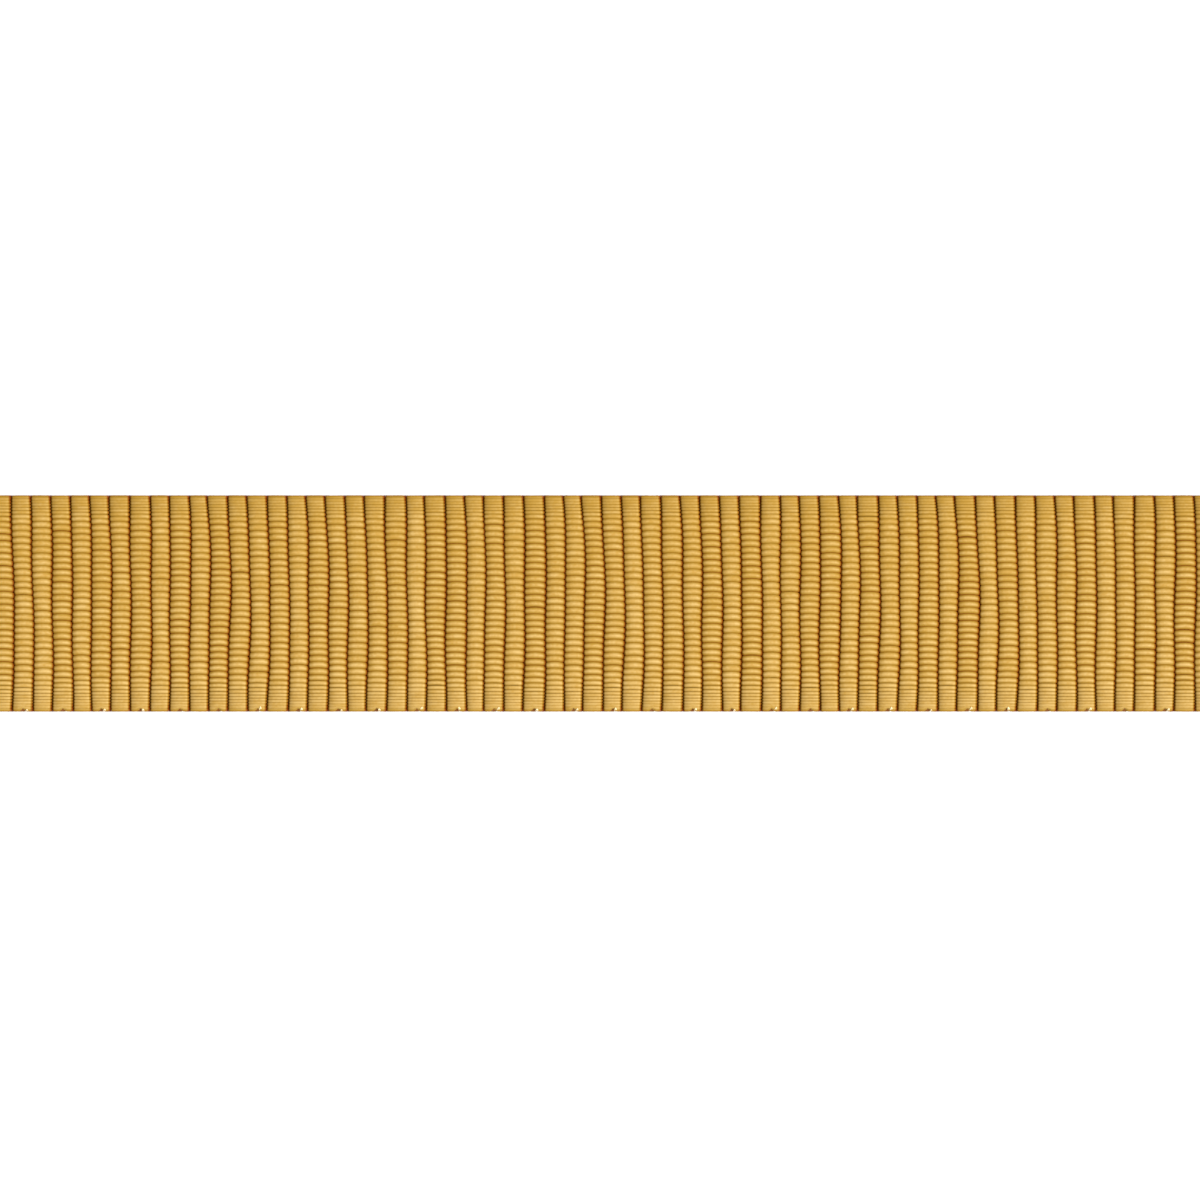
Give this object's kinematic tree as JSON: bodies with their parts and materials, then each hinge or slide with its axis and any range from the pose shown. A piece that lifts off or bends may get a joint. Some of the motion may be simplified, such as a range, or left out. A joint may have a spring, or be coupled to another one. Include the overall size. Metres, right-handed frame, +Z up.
{
  "type": "faille tape trim",
  "caption": "Cut length of flat woven faille tape with rounded cross ribs, a smooth selvedge along one edge and a caught selvedge along the other.",
  "frame": {"origin": "middle of the underside, on the surface that the tape lies on", "axes": "+X along the tape, +Y across it towards the smooth selvedge, +Z up out of the right side"},
  "size_m": [0.1034, 0.016, 0.0012],
  "materials": {
    "gold_yarn": "old gold plied yarn with a soft satin sheen, darker in the grooves between the ribs"
  },
  "bodies": {
    "root": {"faille_tape": "gold_yarn"}
  },
  "joints": []
}
